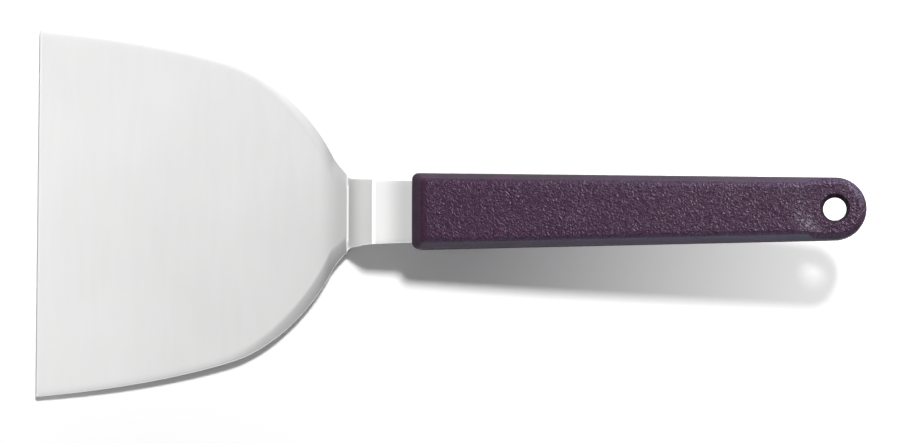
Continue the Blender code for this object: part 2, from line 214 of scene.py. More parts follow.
def rounded_path(corners, steps):
    """Points along straight runs whose corners, given as (x, y, radius), are arcs."""
    path = []
    for index, (x, y, radius) in enumerate(corners):
        here = Vector((x, y))
        if index in (0, len(corners) - 1) or radius == 0:
            path.append(here)
            continue
        back = (Vector(corners[index - 1][:2]) - here).normalized()
        ahead = (Vector(corners[index + 1][:2]) - here).normalized()
        half = acos(max(-1.0, min(1.0, back.dot(ahead)))) / 2
        centre = here + (back + ahead).normalized() * radius / sin(half)
        arm = here + back * radius / tan(half) - centre
        turn = pi - 2 * half
        side = 1 if back.x * ahead.y - back.y * ahead.x < 0 else -1
        for step in range(steps + 1):
            path.append(centre + Matrix.Rotation(side * turn * step / steps, 2) @ arm)
    return path


def smooth_least(first, second, width):
    """The lower of two heights, blended over a width where they cross."""
    blend = np.clip(0.5 + 0.5 * (second - first) / width, 0, 1)
    return second * (1 - blend) + first * blend - width * blend * (1 - blend)


def smooth_step(value, low, high):
    ramp = np.clip((value - low) / (high - low), 0, 1)
    return ramp * ramp * (3 - 2 * ramp)


class Sheet:
    """Middle line and outline of the steel sheet, measured from the front edge."""

    def __init__(self, sizes):
        self.sizes = sizes
        up = sizes.riser_angle
        back = sizes.riser_angle - sizes.tang_angle
        first = sizes.first_radius * (1 - cos(up))
        second = sizes.second_radius * (cos(sizes.tang_angle) - cos(up))
        riser = (sizes.rise - first - second) / sin(up)
        self.runs = [
            (sizes.blade_length, 0.0),
            (sizes.first_radius * up, up),
            (riser, 0.0),
            (sizes.second_radius * back, -back),
            (sizes.strap_length + sizes.tang_length, 0.0),
        ]
        self.total = sum(run for run, turn in self.runs)
        self.mouth = self.total - sizes.tang_length
        self.front_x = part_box("blade")[0].x
        self.lift = bpy.context.scene.spatula_handle.tang_lift
        self.outline = self.make_outline()

    def along(self, distance):
        """Place (x, z) and slope of the sheet's middle line at a distance."""
        x = self.front_x
        z = self.sizes.thickness / 2
        slope = 0.0
        left = distance
        for index, (run, turn) in enumerate(self.runs):
            used = left if index == len(self.runs) - 1 else min(left, run)
            if turn:
                radius = run / turn
                after = slope + used / radius
                x += radius * (sin(after) - sin(slope))
                z += radius * (cos(slope) - cos(after))
                slope = after
            else:
                x += used * cos(slope)
                z += used * sin(slope)
            left -= used
            if left <= 0:
                break
        return x, z, slope

    def tang_outline(self, grow=0.0):
        """Half outline of the neck's seat and the tang from the handle's front face."""
        s = self.sizes
        neck = s.neck_width / 2 + grow
        tang = s.tang_width / 2 + grow
        end = s.tang_length + grow
        pull = s.tang_shoulder / 2
        shoulder = curve_between((s.seat, neck), 0, pull, (s.seat + s.tang_shoulder, tang), 0, pull,
                                 s.bend_steps)
        corner = rounded_path([(end - 2 * s.tang_corner, tang, 0), (end, tang, s.tang_corner),
                               (end, tang - 2 * s.tang_corner, 0)], s.bend_steps)
        return shoulder + corner[1:-1]

    def make_outline(self):
        """Half outline of the flat blank as (distance, half width) points."""
        s = self.sizes
        front = (0.0, s.blade_width / 2)
        shoulder = (s.blade_length - s.shoulder_setback, s.shoulder_width / 2)
        throat = (s.blade_length - s.throat_setback, s.throat_width / 2)
        root = (s.blade_length + s.root_setback, s.root_width / 2)
        side = curve_between(front, s.front_angle, s.side_pull, shoulder, s.shoulder_angle,
                             s.side_pull, s.side_steps)
        bow = curve_between(shoulder, s.shoulder_angle, s.shoulder_pull, throat, s.throat_angle,
                            s.shoulder_pull, s.side_steps)
        hollow = curve_between(throat, s.throat_angle, s.throat_pull, root, s.root_angle,
                               s.throat_pull, s.bend_steps)
        hollow = hollow[:s.bend_steps * 3 // 4 + 1]  # the neck's rounded corner takes the rest
        neck = curve_between(root, s.flare_angle, s.neck_pull, (self.mouth, s.neck_width / 2),
                             s.neck_end_angle, s.neck_pull, s.bend_steps)
        corner = rounded_path([(*hollow[-1], 0), (*root, s.root_radius), (*neck[1], 0)],
                              s.bend_steps // 2)
        tang = [Vector((self.mouth + point.x, point.y)) for point in self.tang_outline()]
        return side + bow[1:] + hollow[1:] + corner[1:] + neck[2:] + tang

    def half_width(self, distance):
        distance = max(distance, 0.0)
        for near, far in zip(self.outline, self.outline[1:]):
            if near.x <= distance <= far.x and far.x > near.x:
                part = (distance - near.x) / (far.x - near.x)
                return near.y + part * (far.y - near.y)
        return self.outline[-1].y

    def slope(self, distance):
        """Angle between the outline and the middle line, taken over a short stretch."""
        reach = self.sizes.slope_reach
        return atan2(self.half_width(distance - reach) - self.half_width(distance + reach),
                     2 * reach)

    def handle_place(self):
        """Handle's own frame: on its middle line at its front face, x along it."""
        x, z, slope = self.along(self.mouth)
        sheet = Matrix.Translation((x, 0, z)) @ Matrix.Rotation(-slope, 4, "Y")
        return sheet @ Matrix.Translation((0, 0, -self.lift))

    def lock_places(self):
        """Middles of the lock holes in the handle's frame."""
        s = self.sizes
        last = s.tang_length - s.lock_setback
        return [Matrix.Translation((last - s.lock_spacing * back, 0, self.lift))
                for back in (1, 0)]


def link_mesh(name, mesh_data, materials):
    """Object from a bmesh with its faces turned outwards."""
    bmesh.ops.recalc_face_normals(mesh_data, faces=mesh_data.faces)
    mesh = bpy.data.meshes.new(name)
    mesh_data.to_mesh(mesh)
    mesh_data.free()
    for material in materials:
        mesh.materials.append(material)
    made = bpy.data.objects.new(name, mesh)
    bpy.context.scene.collection.objects.link(made)
    return made


def bridge_rings(rings, finish_of=lambda ring, place: 0):
    """Closed skin through rings of equal length, with a flat cap on the first and the last."""
    mesh_data = bmesh.new()
    loops = [[mesh_data.verts.new(point) for point in ring] for ring in rings]
    around = len(rings[0])
    for number, (low, high) in enumerate(zip(loops, loops[1:])):
        for index in range(around):
            after = (index + 1) % around
            face = mesh_data.faces.new((low[index], low[after], high[after], high[index]))
            face.material_index = finish_of(number, index)
    for loop, number in ((loops[0], 0), (loops[-1], len(rings) - 1)):
        mesh_data.faces.new(loop).material_index = finish_of(number, 0)
    return mesh_data


def round_bar(name, radius, reach, place, steps=64):
    """Straight round cutter about its own z axis."""
    mesh_data = bmesh.new()
    bmesh.ops.create_cone(mesh_data, cap_ends=True, segments=steps, radius1=radius,
                          radius2=radius, depth=2 * reach)
    mesh_data.transform(place)
    return link_mesh(name, mesh_data, [])


def cut_now(target, cutters):
    """Cuts the cutters out of the target's mesh and removes them."""
    for cutter in cutters:
        boolean = target.modifiers.new(cutter.name, "BOOLEAN")
        boolean.operation = "DIFFERENCE"
        boolean.solver = "EXACT"
        boolean.object = cutter
    bpy.context.view_layer.update()
    evaluated = target.evaluated_get(bpy.context.evaluated_depsgraph_get())
    made = bpy.data.meshes.new_from_object(evaluated)
    target.modifiers.clear()
    target.data = made
    for cutter in cutters:
        bpy.data.objects.remove(cutter, do_unlink=True)


def stands_for(piece, node):
    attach(piece, BODY)
    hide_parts(node)


# Finishes

class Nodes:
    """Short hand for adding and linking nodes of one tree."""

    def __init__(self, tree):
        self.tree = tree

    def add(self, kind, settings=None, **inputs):
        node = self.tree.nodes.new(kind)
        for key, value in (settings or {}).items():
            setattr(node, key, value)
        for key, value in inputs.items():
            self.put(node.inputs[key.replace("_", " ")], value)
        return node

    def put(self, socket, value):
        if isinstance(value, bpy.types.NodeSocket):
            self.tree.links.new(value, socket)
        else:
            socket.default_value = value

    def maths(self, operation, first, second=0.0):
        node = self.tree.nodes.new("ShaderNodeMath")
        node.operation = operation
        self.put(node.inputs[0], first)
        self.put(node.inputs[1], second)
        return node.outputs[0]

    def chain(self, operation, first, *rest):
        """One sum or product over several values, taken from left to right."""
        for value in rest:
            first = self.maths(operation, first, value)
        return first

    def vector(self, operation, first, second=None, scale=None):
        node = self.tree.nodes.new("ShaderNodeVectorMath")
        node.operation = operation
        self.put(node.inputs[0], first)
        if second is not None:
            self.put(node.inputs[1], second)
        if scale is not None:
            self.put(node.inputs["Scale"], scale)
        return node.outputs[0]

    def ramp(self, value, low, high, out_low=0.0, out_high=1.0, smooth=False):
        node = self.tree.nodes.new("ShaderNodeMapRange")
        node.interpolation_type = "SMOOTHSTEP" if smooth else "LINEAR"
        for socket, given in zip(node.inputs, (value, low, high, out_low, out_high)):
            self.put(socket, given)
        return node.outputs[0]

    def noise(self, place, scale, detail=2.0, rough=0.5):
        return self.add("ShaderNodeTexNoise", Vector=place, Scale=scale, Detail=detail,
                        Roughness=rough)

    def mix_colour(self, factor, first, second):
        node = self.tree.nodes.new("ShaderNodeMix")
        node.data_type = "RGBA"
        self.put(node.inputs[0], factor)
        self.put(node.inputs[6], first)
        self.put(node.inputs[7], second)
        return node.outputs[2]


def new_material(name):
    """Material with its nodes, its shader and the place on the piece that is shaded."""
    material = bpy.data.materials.new(name)
    material.use_nodes = True
    nodes = Nodes(material.node_tree)
    place = nodes.add("ShaderNodeTexCoord").outputs["Object"]
    return material, nodes, material.node_tree.nodes["Principled BSDF"], place


def shaded(tint, factor=1.0):
    """Colour with each part multiplied by a factor, as a socket takes it."""
    return (*(min(1.0, factor * part) for part in tint), 1.0)


def leather_height(nodes, place, grain_size):
    """Height of the leather grain, 0 in the valleys and 1 on its thin winding ridges."""
    wander = nodes.noise(place, 0.9 / grain_size, 2.0).outputs["Color"]
    wander = nodes.vector("SUBTRACT", wander, (0.5, 0.5, 0.5))
    wander = nodes.vector("SCALE", wander, scale=1.1 * grain_size)
    bent = nodes.vector("ADD", place, wander)
    ridges = []
    for scale, shift in ((0.85, 0.0), (1.3, 0.5)):
        folds = nodes.noise(nodes.vector("ADD", bent, (shift, shift, shift)), scale / grain_size,
                            1.0).outputs[0]
        folds = nodes.maths("ABSOLUTE", nodes.maths("SUBTRACT", folds, 0.5))
        ridges.append(nodes.ramp(folds, 0.0, 0.15, 1.0, 0.0, smooth=True))
    return nodes.maths("MAXIMUM", ridges[0], nodes.maths("MULTIPLY", ridges[1], 0.5))


def satin_steel(sheet):
    """Ground steel, a little darker as painted shade ahead of the first bend and next to the
    handle.
    """
    steel = sheet.sizes
    material, nodes, shader, place = new_material("satin_steel")
    stretched = nodes.vector("MULTIPLY", place, (2600.0, 60.0, 2600.0))
    lines = nodes.noise(stretched, 1.0, 3.0, 0.6).outputs[0]
    drawn = nodes.vector("MULTIPLY", place, (380.0, 48.0, 380.0))
    streaks = nodes.noise(drawn, 1.0, 3.0, 0.55).outputs[0]
    clouds = nodes.noise(place, 17.0, 2.0).outputs[0]
    rough = nodes.ramp(streaks, 0.3, 0.7, steel.roughness - 0.006, steel.roughness + 0.006)
    rough = nodes.maths("ADD", rough, nodes.ramp(clouds, 0.3, 0.7, -0.012, 0.012))
    nodes.put(shader.inputs["Roughness"], rough)
    tone = nodes.maths("ADD", nodes.maths("MULTIPLY", streaks, 0.25),
                       nodes.maths("MULTIPLY", clouds, 0.75))
    satin = nodes.mix_colour(nodes.ramp(tone, 0.35, 0.65), shaded(steel.tint, 0.94),
                             shaded(steel.tint))
    across = nodes.add("ShaderNodeSeparateXYZ", Vector=place).outputs[0]
    crease = sheet.front_x + steel.blade_length
    mouth = sheet.along(sheet.mouth)[0]
    # Painted shade in the hollow of the first bend: darker just ahead of the bend line, fading out
    # just past it.
    pressed = nodes.ramp(across, crease - 0.010, crease - 0.001, 0.0, 1.0, smooth=True)
    pressed = nodes.maths("SUBTRACT", pressed,
                          nodes.ramp(across, crease, crease + 0.006, 0.0, 1.0, smooth=True))
    # Painted shade next to the handle: the strap grows darker towards the handle's front face.
    painted_handle_shade = nodes.ramp(across, mouth - 0.011, mouth - 0.002, 0.0, 1.0, smooth=True)
    # Both painted shades together, the one at the bend at 0.7 of its strength, darken the steel
    # towards 0.62 of its colour.
    painted_shades = nodes.maths("MAXIMUM", nodes.maths("MULTIPLY", pressed, 0.7), painted_handle_shade)
    nodes.put(shader.inputs["Base Color"],
              nodes.mix_colour(painted_shades, satin, shaded(steel.tint, 0.62)))
    bump = nodes.add("ShaderNodeBump", Strength=0.06, Distance=0.00002, Height=lines)
    nodes.put(shader.inputs["Normal"], bump.outputs[0])
    shader.inputs["Metallic"].default_value = 1.0
    return material


def edge_steel_painted_highlight():
    """Cut and ground edges: smoother than the blade, with a painted highlight that makes their
    colour brighter than the steel's.
    """
    steel = bpy.context.scene.spatula_steel
    material, nodes, shader, place = new_material("edge_steel_painted_highlight")
    wear = nodes.noise(place, 900.0, 3.0).outputs[0]
    nodes.put(shader.inputs["Roughness"], nodes.ramp(wear, 0.3, 0.7, 0.16, 0.28))
    # Painted highlight: the edges' colour is the steel's raised by 0.12.
    shader.inputs["Base Color"].default_value = shaded(steel.tint, 1.12)
    shader.inputs["Metallic"].default_value = 1.0
    return material


def pores_of(nodes, place):
    """Fine unevenness of moulded plastic."""
    return nodes.noise(place, 6000.0, 2.0).outputs[0]


def moulded_plastic(name, specular):
    """Dark plastic with leather grain where the mesh is marked with it, the grain's ridges painted
    lighter as sheen and its valleys darker as shade.
    """
    handle = bpy.context.scene.spatula_handle
    material, nodes, shader, place = new_material(name)
    grain = nodes.add("ShaderNodeAttribute", {"attribute_name": "grain"}).outputs["Fac"]
    height = leather_height(nodes, place, handle.grain_size)
    pores = pores_of(nodes, place)
    clouds = nodes.noise(place, 120.0, 3.0).outputs[0]
    # Painted sheen and shade: the grain's ridges are coloured lighter and its valleys darker than
    # the plastic.
    grain_painted_sheen_and_shade = nodes.mix_colour(nodes.maths("MULTIPLY", grain, height),
                               shaded(handle.tint, 0.58), shaded(handle.tint, 1.45))
    base = nodes.mix_colour(nodes.ramp(clouds, 0.35, 0.65), grain_painted_sheen_and_shade, shaded(handle.tint, 1.05))
    nodes.put(shader.inputs["Base Color"], base)
    rough = nodes.ramp(grain, 0.0, 1.0, handle.roughness, handle.roughness + 0.04)
    rough = nodes.maths("ADD", rough, nodes.ramp(pores, 0.3, 0.7, -0.03, 0.03))
    nodes.put(shader.inputs["Roughness"], rough)
    relief = nodes.add("ShaderNodeBump", Strength=grain, Distance=handle.grain_depth,
                       Height=height)
    skin = nodes.add("ShaderNodeBump", Strength=0.25, Distance=0.00001, Height=pores,
                     Normal=relief.outputs[0])
    nodes.put(shader.inputs["Normal"], skin.outputs[0])
    shader.inputs["Specular IOR Level"].default_value = specular
    return material


def bore_plastic():
    """Matt wall of the hang hole, its colour darkened below the plastic's own as painted shade."""
    handle = bpy.context.scene.spatula_handle
    material, nodes, shader, place = new_material("bore_plastic")
    nodes.put(shader.inputs["Roughness"],
              nodes.ramp(pores_of(nodes, place), 0.3, 0.7, 0.75, 0.85))
    # Painted shade in the hole: the plastic's colour at 0.8 of its strength.
    shader.inputs["Base Color"].default_value = shaded(handle.tint, 0.8)
    shader.inputs["Specular IOR Level"].default_value = 0.08
    return material


def floor_white():
    """White floor that keeps the shadow and glows to plain white behind the blade and far off."""
    stage = bpy.context.scene.spatula_stage
    material, nodes, shader, place = new_material("floor_white")
    shader.inputs["Base Color"].default_value = shaded(stage.floor_tint)
    shader.inputs["Roughness"].default_value = 1.0
    shader.inputs["Specular IOR Level"].default_value = 0.0
    shader.inputs["Emission Color"].default_value = (1.0, 1.0, 1.0, 1.0)
    seen = nodes.add("ShaderNodeLightPath").outputs["Is Camera Ray"]
    behind = nodes.add("ShaderNodeSeparateXYZ", Vector=place).outputs[0]
    behind = nodes.ramp(behind, -0.015, 0.17, 0.0, 0.62, smooth=True)
    away = nodes.add("ShaderNodeVectorMath", {"operation": "LENGTH"}, Vector=place).outputs[1]
    away = nodes.ramp(away, 0.10, 0.50, 0.0, 0.9, smooth=True)
    glow = nodes.maths("ADD", nodes.maths("MAXIMUM", behind, away), stage.floor_glow)
    nodes.put(shader.inputs["Emission Strength"], nodes.maths("MULTIPLY", seen, glow))
    return material


# Steel piece

def fade(place, full, none):
    """Smooth share that falls from 1 at one place to 0 at the other."""
    part = max(0.0, min(1.0, (none - place) / (none - full)))
    return part * part * (3 - 2 * part)


def band_at(steel, distance):
    """Width and drop of the ground shoulder, which fades into the rolled edge at both ends."""
    full = steel.blade_length - steel.band_setback
    part = min(fade(distance, full, full - steel.band_fade),
               fade(distance, steel.blade_length, steel.blade_length + steel.root_setback))
    return (steel.roll_width + part * (steel.band_width - steel.roll_width),
            steel.roll_drop + part * (steel.band_drop - steel.roll_drop))


def steel_stations(sheet):
    """Places along the sheet that get a cross-section, with their half widths."""
    steel = sheet.sizes
    stations = [(point.x, point.y) for point in sheet.outline]
    extra = [steel.grind_length * part for part in (0.08, 0.2, 0.8, 0.92, 1.0, 1.12)]
    start = 0.0
    for run, turn in sheet.runs:
        if turn:
            extra += [start + run * step / steel.bend_steps for step in range(steel.bend_steps + 1)]
            extra += [start - steel.edge_round, start + run + steel.edge_round]
        start += run
    stations += [(place, sheet.half_width(place)) for place in extra]
    stations.sort(key=lambda station: (station[0], -station[1]))
    kept = stations[:1]
    for station in stations[1:]:
        if hypot(station[0] - kept[-1][0], station[1] - kept[-1][1]) > steel.edge_round / 4:
            kept.append(station)
    return kept


def steel_section(steel, distance, half_width, slope):
    """Ring of (across, height above the sheet's middle) points, counter-clockwise."""
    top = steel.thickness / 2
    bottom = -top
    if distance < steel.grind_length:
        ground = 1 - distance / steel.grind_length
        top -= ground * (steel.thickness - steel.grind_edge)
    width, drop = band_at(steel, distance)
    band = min(width / cos(min(slope, steel.throat_angle)), half_width / 2)
    soft = steel.edge_round
    corners = [
        (0.0, bottom, 0),
        (half_width, bottom, soft),
        (half_width, top - drop, soft),
        (half_width - band, top, 0),
    ]
    edge = rounded_path(corners, EDGE_STEPS)[1:-1]
    fall = drop / band
    steps = 6
    for step in range(steps + 1):
        left = 2 * steel.band_soft * (1 - step / steps)
        edge.append(Vector((half_width - band - steel.band_soft + left,
                            top - fall * left ** 2 / (4 * steel.band_soft))))
    return [tuple(point) for point in edge] + [(-point.x, point.y) for point in reversed(edge)]


class SPATULA_OT_steel(bpy.types.Operator):
    """Make the steel piece: blade, double bend, neck and tang"""
    bl_idname = "spatula.steel"
    bl_label = "Steel blade and neck"

    def execute(self, context):
        steel = context.scene.spatula_steel
        sheet = Sheet(steel)
        rings = []
        stations = steel_stations(sheet)
        for distance, half_width in stations:
            x, z, slope = sheet.along(distance)
            rings.append([(x - height * sin(slope), across, z + height * cos(slope))
                          for across, height in steel_section(steel, distance, half_width,
                                                              sheet.slope(distance))])
        around = len(rings[0])

        def finish_of(number, place):
            ground = stations[number][0] < steel.grind_length * 0.99
            cut = place < CUT_FACES or around - 1 - CUT_FACES <= place < around - 1
            return HIGHLIT_EDGE if ground or cut else SATIN

        blade = link_mesh("steel_blade", bridge_rings(rings, finish_of),
                          [satin_steel(sheet), edge_steel_painted_highlight()])
        reach = steel.thickness
        place = sheet.handle_place()
        cut_now(blade, [round_bar(f"lock_hole_{number}", steel.lock_diameter / 2, reach,
                                  place @ middle)
                        for number, middle in enumerate(sheet.lock_places())])
        blade.data.shade_smooth()
        blade.data.set_sharp_from_angle(angle=radians(40))
        stands_for(blade, "blade")
        return {"FINISHED"}


# Handle

class Grip:
    """Outer skin of the handle in its own frame."""

    def __init__(self, sizes):
        self.sizes = sizes
        self.eye_x = sizes.size - sizes.rear_width / 2
        front = sizes.front_width / 2
        reach = hypot(front, self.eye_x)
        self.taper = acos(sizes.rear_width / 2 / reach) - atan2(self.eye_x, front)

    def half_thickness(self, x):
        s = self.sizes
        return (s.front_thickness + x / self.eye_x * (s.rear_thickness - s.front_thickness)) / 2

    def plan(self, inset):
        """Outline drawn in by an inset, with the same number of points for every inset."""
        s = self.sizes
        spacing = s.spacing
        radius = s.rear_width / 2 - inset
        front_x = inset * s.front_chamfer / s.side_chamfer
        front_y = (s.front_width / 2 * cos(self.taper) - inset - front_x * sin(self.taper))
        front_y /= cos(self.taper)
        corner = max(s.corner - inset / 2, s.corner / 4)
        end = Vector((self.eye_x + radius * sin(self.taper), radius * cos(self.taper)))
        turned = rounded_path([(front_x, 0, 0), (front_x, front_y, corner), (*end, 0)], 8)
        arc = turned[1:-1]  # the rounded front corner
        front_count = round(s.front_width / 2 / spacing)
        side_count = round(s.size / spacing)
        rear_count = round(pi / 2 * s.rear_width / 2 / spacing)
        half = [Vector((front_x, arc[0].y * step / front_count)) for step in range(front_count)]
        half += arc
        half += [arc[-1].lerp(end, step / side_count) for step in range(1, side_count)]
        for step in range(rear_count + 1):
            turn = (pi / 2 - self.taper) * (1 - step / rear_count)
            half.append(Vector((self.eye_x + radius * cos(turn), radius * sin(turn))))
        return half + [Vector((point.x, -point.y)) for point in reversed(half[1:-1])]

    def edge(self):
        """Rounded chamfer as (inset, drop below the face), from the wall up to the face."""
        s = self.sizes
        wall = s.chamfer_drop + 2 * s.chamfer_round
        face = s.side_chamfer + 2 * s.chamfer_round
        arc_steps = 5
        flank_steps = 7
        path = rounded_path([(0, wall, 0), (0, s.chamfer_drop, s.chamfer_round),
                             (s.side_chamfer, 0, s.chamfer_round), (face, 0, 0)],
                            arc_steps)[1:-1]
        lower = path[:arc_steps + 1]
        upper = path[arc_steps + 1:]
        flank = [lower[-1].lerp(upper[0], step / flank_steps) for step in range(1, flank_steps)]
        return lower + flank + upper

    def dish(self, x, y):
        """Height of the dish's floor and wall above the handle's middle."""
        s = self.sizes
        floor = s.eye_thickness / 2
        face = self.half_thickness(self.eye_x)
        slope = (face - floor) / s.eye_wall
        out = np.hypot(x - self.eye_x, y) - s.eye_flat / 2
        return floor - smooth_least(-slope * out, np.zeros_like(out), s.eye_round)

    def top(self, x, y, drop):
        """Height of the upper skin at places that lie a drop below the face."""
        plain = self.half_thickness(x) - drop \
            - self.sizes.crown * (2 * y / self.sizes.front_width) ** 4
        return smooth_least(plain, self.dish(x, y), self.sizes.eye_round)

    def depth(self, x, y):
        """How far a place lies inside the outline, in terms of the side's inset."""
        s = self.sizes
        y = np.abs(y)
        side = (s.front_width / 2 - y) * cos(self.taper) - x * sin(self.taper)
        rear = s.rear_width / 2 - np.hypot(x - self.eye_x, y)
        past = x - self.eye_x > y * tan(self.taper)
        front = x * s.side_chamfer / s.front_chamfer
        return np.minimum(np.where(past, rear, side), front)

    def hole(self):
        """Upper half of the hang hole's wall as (radius, height), from the waist to the lip."""
        s = self.sizes
        waist = s.hole_diameter / 2
        face = s.eye_thickness / 2
        straight = face - s.hole_lip
        mouth = waist + face * tan(s.hole_draft)
        steps = 6
        wall = [(waist + (mouth - waist) * step / steps, straight * step / steps)
                for step in range(steps)]
        for step in range(steps + 1):
            turn = pi / 2 * step / steps
            wall.append((mouth + s.hole_lip * (1 - cos(turn)), straight + s.hole_lip * sin(turn)))
        return wall

    def levelled(self, place, inner):
        """Place drawn out sideways so that the straight sides of the inner rim run along x."""
        s = self.sizes
        side = s.front_width / 2 - (place.x * sin(self.taper) + inner) / cos(self.taper)
        return Vector((place.x, round(place.y * s.front_width / 2 / side, 7)))

    def cap(self, rim, inner, hole_rim):
        """Triangles between the chamfer's upper rim and the hole's rim, on an even net."""
        spacing = self.sizes.spacing
        row = spacing * sin(pi / 3)
        reach_x = self.sizes.size
        reach_y = self.sizes.front_width / 2
        rows = int(reach_y / row)
        net = []
        for number in range(-rows, rows + 1):
            shift = spacing / 2 * (number % 2)
            xs = np.arange(0, reach_x, spacing) + shift
            net.append(np.column_stack([xs, np.full_like(xs, number * row)]))
        net = np.concatenate(net)
        away = np.hypot(net[:, 0] - self.eye_x, net[:, 1])
        hole_radius = (hole_rim[0] - Vector((self.eye_x, 0))).length
        clear = 0.6 * spacing
        inside = self.depth(net[:, 0], net[:, 1]) > inner + clear
        net = net[inside & (away > hole_radius + clear)]
        points = [*rim, *hole_rim, *(Vector(place) for place in net.tolist())]
        loops = []
        for start, size in ((0, len(rim)), (len(rim), len(hole_rim))):
            loops += [(start + index, start + (index + 1) % size) for index in range(size)]
        level = [self.levelled(place, inner) for place in points]
        places, _, faces, _, _, _ = delaunay_2d_cdt(level, loops, [list(range(len(rim)))], 1,
                                                    SAME_PLACE, True)
        if len(places) != len(points):
            raise RuntimeError("the net of the handle's face doesn't meet its rims")
        found = []
        for face in faces:
            middle = sum((points[index] for index in face), Vector((0, 0))) / len(face)
            if (middle - Vector((self.eye_x, 0))).length > hole_radius * 0.999:
                found.append(face)
        return points, found


def build_grip(grip):
    """Closed skin of the handle, without the pocket."""
    sizes = grip.sizes
    mesh_data = bmesh.new()
    edge = grip.edge()
    inner = edge[-1].x
    wall_drop = edge[0].y
    wall_height = sizes.front_thickness - 2 * wall_drop
    wall_steps = round(wall_height / sizes.spacing / 1.15)

    def ring(inset, drop, side):
        plan = grip.plan(inset)
        x = np.array([point.x for point in plan])
        y = np.array([point.y for point in plan])
        return np.column_stack([x, y, side * grip.top(x, y, drop)])

    lower = [ring(point.x, point.y, -1) for point in reversed(edge)]
    upper = [ring(point.x, point.y, 1) for point in edge]
    walls = [lower[-1] + (upper[0] - lower[-1]) * step / wall_steps
             for step in range(1, wall_steps)]
    rings = [[mesh_data.verts.new(place) for place in level.tolist()]
             for level in lower + walls + upper]
    around = len(rings[0])
    for low, high in zip(rings, rings[1:]):
        for index in range(around):
            after = (index + 1) % around
            mesh_data.faces.new((low[index], low[after], high[after], high[index]))

    hole_steps = 88
    wall = grip.hole()
    middle = Vector((grip.eye_x, 0))
    spokes = [Vector((cos(2 * pi * step / hole_steps), sin(2 * pi * step / hole_steps)))
              for step in range(hole_steps)]
    hole_rim = [middle + wall[-1][0] * spoke for spoke in spokes]
    rim = grip.plan(inner)
    places, faces = grip.cap(rim, inner, hole_rim)
    flat = np.array([tuple(place) for place in places])
    height = grip.top(flat[:, 0], flat[:, 1], 0.0)
    ends = {}
    for side, outer in ((1, rings[-1]), (-1, rings[0])):
        verts = list(outer)
        for place, level in zip(places[len(rim):], height[len(rim):].tolist()):
            verts.append(mesh_data.verts.new((place.x, place.y, side * level)))
        for face in faces:
            mesh_data.faces.new([verts[index] for index in face])
        ends[side] = verts[len(rim):len(rim) + hole_steps]
    profile = [(radius, -level) for radius, level in reversed(wall[1:-1])] + wall[:-1]
    loops = [ends[-1]]
    for radius, level in profile:
        loops.append([mesh_data.verts.new((*(middle + radius * spoke), level)) for spoke in spokes])
    loops.append(ends[1])
    for low, high in zip(loops, loops[1:]):
        for index in range(hole_steps):
            after = (index + 1) % hole_steps
            face = mesh_data.faces.new((low[index], high[index], high[after], low[after]))
            face.material_index = BORE
    return mesh_data


def tang_pocket(sheet, gap, lift):
    """Cutter for the space round the tang, with the two plugs left standing in it."""
    steel = sheet.sizes
    lead = Vector((-steel.thickness, steel.neck_width / 2 + gap))
    half = [lead] + sheet.tang_outline(gap)
    plan = half + [Vector((point.x, -point.y)) for point in reversed(half)]
    reach = steel.thickness / 2 + gap
    rings = [[(point.x, point.y, lift + side * reach) for point in plan] for side in (-1, 1)]
    pocket = link_mesh("tang_pocket", bridge_rings(rings), [])
    cut_now(pocket, [round_bar(f"plug_{number}", steel.lock_diameter / 2 - gap, 2 * reach, middle)
                     for number, middle in enumerate(sheet.lock_places())])
    return pocket


def grain_mask(grip, places):
    """Share of leather grain at points of the handle: it fades out over the chamfers."""
    sizes = grip.sizes
    x, y, z = places.T
    edge = grip.edge()
    depth = grip.depth(x, y)
    top = np.abs(z)
    spacing = sizes.spacing
    low_wall = grip.half_thickness(x) - edge[0].y
    away = np.hypot(x - grip.eye_x, y)
    dished = smooth_step(grip.half_thickness(x) - grip.dish(x, y), 0.0, spacing)
    rim = sizes.side_chamfer * (1 - dished)
    face = smooth_step(depth, sizes.grain_fade * rim, rim + 2 * spacing)
    mouth = grip.hole()[-1][0]
    face *= smooth_step(away, mouth - spacing / 2, mouth + spacing)
    face *= top > low_wall
    wall = 1 - smooth_step(top, low_wall - spacing, low_wall + spacing)
    wall *= smooth_step(x, sizes.corner, 2 * sizes.corner)
    wall *= depth < spacing
    return np.clip(face + wall, 0, 1)


def grain_modifier(handle, sizes):
    """Geometry nodes that press the leather grain into the faces marked with it."""
    tree = bpy.data.node_groups.new("press_leather_grain", "GeometryNodeTree")
    tree.interface.new_socket("Geometry", in_out="INPUT", socket_type="NodeSocketGeometry")
    tree.interface.new_socket("Geometry", in_out="OUTPUT", socket_type="NodeSocketGeometry")
    nodes = Nodes(tree)
    given = nodes.add("NodeGroupInput")
    result = nodes.add("NodeGroupOutput")
    place = nodes.add("GeometryNodeInputPosition").outputs[0]
    normal = nodes.add("GeometryNodeInputNormal").outputs[0]
    mask = nodes.add("GeometryNodeInputNamedAttribute", {"data_type": "FLOAT"}, Name="grain")
    height = leather_height(nodes, place, sizes.grain_size)
    pressed = nodes.maths("SUBTRACT", height, 0.6)
    pressed = nodes.maths("MULTIPLY", pressed, sizes.grain_relief)
    pressed = nodes.maths("MULTIPLY", pressed, mask.outputs["Attribute"])
    moved = nodes.vector("SCALE", normal, scale=pressed)
    shift = nodes.add("GeometryNodeSetPosition", Geometry=given.outputs[0], Offset=moved)
    tree.links.new(shift.outputs[0], result.inputs[0])
    handle.modifiers.new("leather_grain", "NODES").node_group = tree


def read_all(items, key, kind, width=1):
    """One value, or a few, of each item of a mesh as an array."""
    values = np.empty(len(items) * width, dtype=kind)
    items.foreach_get(key, values)
    return values


